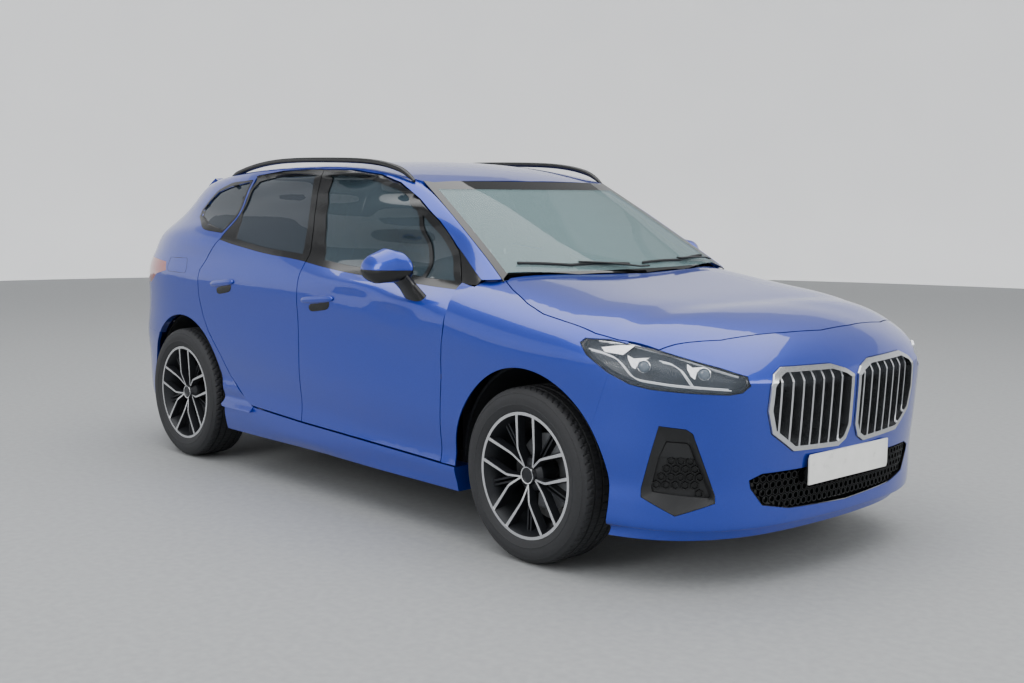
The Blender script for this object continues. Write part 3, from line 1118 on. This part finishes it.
# ---------------------------------------------------------------- seats
VOXEL = 0.009
SWELL = 0.024  # the furthest that the cover's pressure may move a point
PRESSURE = 4
LAST_FRAME = 20
SEAM_HALF, SEAM_DEPTH = 0.006, 0.007
COVER_ROOM = 0.012  # what a pad is made smaller by, for its cover to swell into


def cushion(reach, bolster, power=0.42, steps=72):
    """Superellipsoid pad, its front face (local +x) raised at the sides by a fourth power of the width."""
    u = around(steps)[None, :]
    v = np.linspace(-np.pi / 2, np.pi / 2, steps // 2 + 1)[:, None]

    def rounded(value):
        return np.sign(value) * np.abs(value) ** power

    x, y = rounded(np.cos(v)) * rounded(np.cos(u)), rounded(np.cos(v)) * rounded(np.sin(u))
    z = np.broadcast_to(rounded(np.sin(v)), x.shape)
    x = x + bolster * (x > 0) * np.abs(y) ** 4
    y = y * (1 - 0.06 * (z > 0) * z * z)
    return np.stack([x, y, z], -1) * reach


def puffed(obj):
    """The pad after its cover is blown up a little by pressure, no point moving more than the cap."""
    mesh = obj.data
    rest = coordinates(mesh.vertices)
    cloth = obj.modifiers.new("cover", "CLOTH")
    cloth.settings.use_pressure = True
    cloth.settings.uniform_pressure_force = PRESSURE
    cloth.settings.effector_weights.gravity = 0
    cloth.point_cache.frame_start, cloth.point_cache.frame_end = 1, LAST_FRAME
    for number in range(1, LAST_FRAME + 1):
        bpy.context.scene.frame_set(number)
        bpy.context.view_layer.update()
    laid = obj.evaluated_get(bpy.context.evaluated_depsgraph_get()).data
    shift = coordinates(laid.vertices) - rest
    obj.modifiers.remove(cloth)
    bpy.context.scene.frame_set(1)
    far = np.linalg.norm(shift, axis=1, keepdims=True)
    shift *= np.minimum(1, SWELL / np.maximum(far, 1e-9))
    mesh.vertices.foreach_set("co", (rest + shift).ravel())


def evened(obj, kind, **settings):
    """The object's mesh as one modifier leaves it."""
    changer = obj.modifiers.new("changer", kind)
    for name, value in settings.items():
        setattr(changer, name, value)
    bpy.context.view_layer.update()
    done = bpy.data.meshes.new_from_object(obj.evaluated_get(bpy.context.evaluated_depsgraph_get()))
    obj.modifiers.remove(changer)
    return done


def drawn_by_seams(mesh, reach, seams):
    """Points of a pad, drawn in along its seams by a bell curve of the distance, on the front face only."""
    points, normals = coordinates(mesh.vertices).astype(float), coordinates(mesh.vertex_normals, "vector")
    flat = points / np.array(reach)
    sink = np.zeros(len(points))
    for kind, place in seams:
        if kind == "across":
            gap, limit = (flat[:, 2] - place) * reach[2], np.abs(flat[:, 1]) < 0.66
        else:
            gap, limit = (np.abs(flat[:, 1]) - place) * reach[1], np.abs(flat[:, 2]) < 0.9
        sink = np.maximum(sink, np.exp(-(gap / SEAM_HALF) ** 2) * limit * (flat[:, 0] > 0.1))
    return points - normals * SEAM_DEPTH * sink[:, None]


def pad(name, reach, middle, angle, bolster, seams, node, copies=((1, ""),)):
    """A stuffed pad: remeshed evenly, puffed, subdivided, drawn in along its seams; copies are mirrored."""
    mesh = bpy.data.meshes.new(name)
    shape = Shape().grid(cushion(np.array(reach) - COVER_ROOM, bolster), **TUBE)
    mesh.from_pydata(np.concatenate(shape.points).tolist(), [], shape.faces)
    obj = linked(name, mesh)
    obj.data = evened(obj, "REMESH", mode="VOXEL", voxel_size=VOXEL)
    puffed(obj)
    done = evened(obj, "SUBSURF", levels=1, render_levels=1)
    bpy.data.objects.remove(obj)
    points = drawn_by_seams(done, reach, seams)
    points = tilted(points, (middle[0], 0, middle[2]), angle) + (0, middle[1], 0)
    for side, tail in copies:
        copy = done.copy()
        copy.vertices.foreach_set("co", (points * (1, side, 1)).ravel())
        faced_outwards(copy)
        copy.materials.clear()
        copy.materials.append(M["seat"])
        piece = linked(name + tail, copy)
        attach(piece, "body")
        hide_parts(node)


def make_seats():
    """Front seats and rear bench: stuffed pads over moulded bases, with head restraints on bars."""
    both = ((1, "_right"), (-1, "_left"))
    rise = math.radians(-90)
    lines = (("across", -0.55), ("across", -0.15), ("across", 0.25), ("along", 0.7))
    pad("front_squab", (0.085, 0.235, 0.24), (0.135, -0.385, 0.49), rise + 0.1, 0.35, lines, "front_seats",
        both)
    pad("front_backrest", (0.075, 0.23, 0.31), (-0.19, -0.385, 0.82), -0.36, 0.4, lines, "front_seats", both)
    pad("front_head_restraint", (0.05, 0.125, 0.09), (-0.29, -0.385, 1.19), -0.22, 0.05, (), "front_seats",
        both)
    wide = (("across", -0.4), ("across", 0.1), ("along", 0.36))
    pad("rear_squab", (0.075, 0.62, 0.205), (-0.655, 0.0, 0.49), rise + 0.08, 0.1, wide, "rear_bench")
    pad("rear_backrest", (0.06, 0.62, 0.275), (-0.865, 0.0, 0.81), -0.19, 0.1, wide, "rear_bench")
    pad("rear_head_restraint", (0.04, 0.12, 0.07), (-0.925, -0.36, 1.16), -0.1, 0.0, (), "rear_bench", both)
    bases, bars = Shape(), Shape()
    for x, y, reach_x, reach_y, top in ((0.14, -0.385, 0.42, 0.4, 0.46), (-0.66, -0.33, 0.36, 0.56, 0.46)):
        section = oval(reach_x, reach_y, 40, 5)
        rows = np.stack([np.stack([x + section[:, 0] * s, y + section[:, 1] * s, np.full(40, z)], -1)
                         for z, s in ((0.216, 0.86), (0.24, 0.9), (top - 0.06, 0.94), (top, 1.0))])
        bases.both_sides(rows, **TUBE)
    for x, z, y_middle in ((-0.272, 1.1, -0.385), (-0.918, 1.07, -0.36)):
        for shift in (-0.05, 0.05):
            path = np.array([(x + 0.02, y_middle + shift, z - 0.06), (x, y_middle + shift, z + 0.05)])
            bars.both_sides(swept(path, oval(0.012, 0.012, 12), (1, 0, 0), (0, 1, 0)), **TUBE)
    make("seat_bases", bases, "cabin", "body", "cabin_plastic", ("front_seats", "rear_bench"))
    make("head_restraint_bars", bars, "chrome", "body", "steel", ("front_seats", "rear_bench"))


# ---------------------------------------------------------------- stage
FLOOR_HALF = 40.0
CAMERA_PLACE = (4.8593, -4.16, 1.4193)
CAMERA_TURN = (137.756, -6.673, 0.396)  # heading, pitch and roll in degrees
CAMERA_LENS = 45.251
LIGHTS = (("overhead_softbox", (0.5, -0.5, 8.0), (0, 0, 0.8), 14.0, 1500),
          ("side_softbox", (1.0, -8.5, 4.0), (0, 0, 0.8), 4.0, 260),
          ("nose_softbox", (8.5, 2.0, 4.0), (1.5, 0, 0.8), 4.0, 220))


def staged(name, points, faces, material):
    """A piece of the stage, which isn't part of the car."""
    made = linked(name, bpy.data.meshes.new(name))
    made.data.from_pydata(points, [], faces)
    made.data.shade_smooth()
    made.data.materials.append(material)


def make_stage():
    """Pale floor, a round backdrop, soft studio lights and the camera."""
    made, tree, shader, place = start("pale_studio_floor")
    mottle(tree, shader, place, ("#8e9091", "#989a9b"), 35, (0.6, 0.75), 0.2)
    s = FLOOR_HALF
    staged("studio_floor", [(-s, -s, 0), (s, -s, 0), (s, s, 0), (-s, s, 0)], [(0, 1, 2, 3)], made)
    glow, tree, shader, place = start("pale_backdrop_paper", Roughness=0.9)
    mottle(tree, shader, place, ("#d9dadc", "#dfe0e1"), 900, (0.85, 0.95))
    shader.inputs["Emission Color"].default_value = linear("#e6e7e8")
    shader.inputs["Emission Strength"].default_value = 0.55
    a = around(96)
    wall = [np.stack([r * np.cos(a), r * np.sin(a), np.full(96, z)], -1)
            for r, z in ((15.0, -0.01), (16.0, 0.02), (16.4, 1.0), (16.5, 9.0))]
    staged("studio_backdrop", np.concatenate(wall).tolist(), grid_faces(4, 96, False, True, 0), glow)
    world = bpy.data.worlds.new("studio_air")
    world.use_nodes = True
    world.node_tree.nodes["Background"].inputs["Color"].default_value = linear("#e6e7e9")
    world.node_tree.nodes["Background"].inputs["Strength"].default_value = 0.55
    bpy.context.scene.world = world
    for name, where, target, size, power in LIGHTS:
        lamp = linked(name, bpy.data.lights.new(name, "AREA"))
        lamp.data.size = size
        lamp.data.energy = power
        lamp.location = where
        lamp.rotation_euler = (Vector(target) - Vector(where)).to_track_quat("-Z", "Y").to_euler()
    camera = linked("camera", bpy.data.cameras.new("camera"))
    heading, pitch, roll = (math.radians(a) for a in CAMERA_TURN)
    ahead = Vector((math.cos(pitch) * math.cos(heading), math.cos(pitch) * math.sin(heading),
                    math.sin(pitch)))
    right = Vector((math.sin(heading), -math.cos(heading), 0))
    upward = right.cross(ahead)
    turned = right * math.cos(roll) + upward * math.sin(roll)
    upward = upward * math.cos(roll) - right * math.sin(roll)
    camera.matrix_world = Matrix((turned, upward, -ahead)).transposed().to_4x4()
    camera.location = CAMERA_PLACE
    camera.data.sensor_width = 36
    camera.data.lens = CAMERA_LENS
    camera.data.clip_end = 200
    bpy.context.scene.camera = camera


# ---------------------------------------------------------------- add-on
class CarrierSettings(bpy.types.PropertyGroup):
    """Sizes and colours that a user would change."""
    body_blue: FloatVectorProperty(name="Body blue", description="Colour of the body paint",
                                   subtype="COLOR_GAMMA",
                                   size=3, min=0, max=1, default=(0.09, 0.22, 0.66))


# ---------------------------------------------------------------- add-on
class CarrierSettings(bpy.types.PropertyGroup):
    """Sizes and colours that a user would change."""
    body_blue: FloatVectorProperty(name="Body blue", description="Colour of the body paint",
                                   subtype="COLOR_GAMMA",
                                   size=3, min=0, max=1, default=(0.09, 0.22, 0.66))
    spokes: IntProperty(name="Spokes", description="Double spokes in each wheel", default=5, min=3, max=9)
    tread_depth: FloatProperty(name="Tread depth", description="Depth of the grooves round the tyres",
                               default=0.0075, min=0.0016, max=0.009, unit="LENGTH")


class CARRIER_OT_finishes(bpy.types.Operator):
    """Makes the materials and gives them to the carried-over solids"""
    bl_idname = "carrier.finishes"
    bl_label = "Finishes"

    def execute(self, context):
        make_materials(context.scene.carrier)
        dress_nodes()
        return {"FINISHED"}


class CARRIER_OT_wheels(bpy.types.Operator):
    """Turns the tyres and builds the bright and dark parts of each wheel"""
    bl_idname = "carrier.wheels"
    bl_label = "Wheels"

    def execute(self, context):
        make_wheels(context.scene.carrier)
        return {"FINISHED"}


class CARRIER_OT_lamps(bpy.types.Operator):
    """Fills the headlamps and the rear lamps behind their lenses"""
    bl_idname = "carrier.lamps"
    bl_label = "Headlamps and rear lamps"

    def execute(self, context):
        make_headlamps()
        make_rear_lamps()
        return {"FINISHED"}


class CARRIER_OT_nose(bpy.types.Operator):
    """Sinks the grille backs, the vents and the lower intake, and hangs the front plate"""
    bl_idname = "carrier.nose"
    bl_label = "Nose"

    def execute(self, context):
        make_kidneys()
        make_vents()
        make_intake()
        make_front_plate()
        return {"FINISHED"}


class CARRIER_OT_sides(bpy.types.Operator):
    """Adds handles, mirrors, the quarter window seals and the fuel flap's joint"""
    bl_idname = "carrier.sides"
    bl_label = "Sides"

    def execute(self, context):
        make_sides()
        return {"FINISHED"}


class CARRIER_OT_top(bpy.types.Operator):
    """Adds the roof rails, the wipers, the sensor housing and the headlining"""
    bl_idname = "carrier.top"
    bl_label = "Roof and screen"

    def execute(self, context):
        make_top()
        return {"FINISHED"}


class CARRIER_OT_tail(bpy.types.Operator):
    """Adds the rear plate, the lower panel and the rear wiper"""
    bl_idname = "carrier.tail"
    bl_label = "Tail"

    def execute(self, context):
        make_tail()
        return {"FINISHED"}


class CARRIER_OT_cabin(bpy.types.Operator):
    """Dresses the dashboard and the steering wheel"""
    bl_idname = "carrier.cabin"
    bl_label = "Cabin"

    def execute(self, context):
        make_cabin()
        return {"FINISHED"}


class CARRIER_OT_seats(bpy.types.Operator):
    """Pads the front seats and the rear bench"""
    bl_idname = "carrier.seats"
    bl_label = "Seats"

    def execute(self, context):
        make_seats()
        return {"FINISHED"}


class CARRIER_OT_stage(bpy.types.Operator):
    """Adds the floor, the lights and the camera"""
    bl_idname = "carrier.stage"
    bl_label = "Stage"

    def execute(self, context):
        make_stage()
        return {"FINISHED"}


OPERATORS = (CARRIER_OT_finishes, CARRIER_OT_wheels, CARRIER_OT_lamps, CARRIER_OT_nose, CARRIER_OT_sides,
             CARRIER_OT_top, CARRIER_OT_tail, CARRIER_OT_cabin, CARRIER_OT_seats, CARRIER_OT_stage)


class CARRIER_PT_panel(bpy.types.Panel):
    """Buttons for each group of pieces"""
    bl_label = "Carrier"
    bl_space_type = "VIEW_3D"
    bl_region_type = "UI"
    bl_category = "Carrier"

    def draw(self, context):
        for operator in OPERATORS:
            self.layout.operator(operator.bl_idname)
        for name in ("body_blue", "spokes", "tread_depth"):
            self.layout.prop(context.scene.carrier, name)


CLASSES = (CarrierSettings, *OPERATORS, CARRIER_PT_panel)


def register():
    for each in CLASSES:
        bpy.utils.register_class(each)
    bpy.types.Scene.carrier = bpy.props.PointerProperty(type=CarrierSettings)


def unregister():
    del bpy.types.Scene.carrier
    for each in reversed(CLASSES):
        bpy.utils.unregister_class(each)


def main():
    register()
    for operator in OPERATORS:
        group, name = operator.bl_idname.split(".")
        getattr(getattr(bpy.ops, group), name)()


if __name__ == "__main__":
    main()
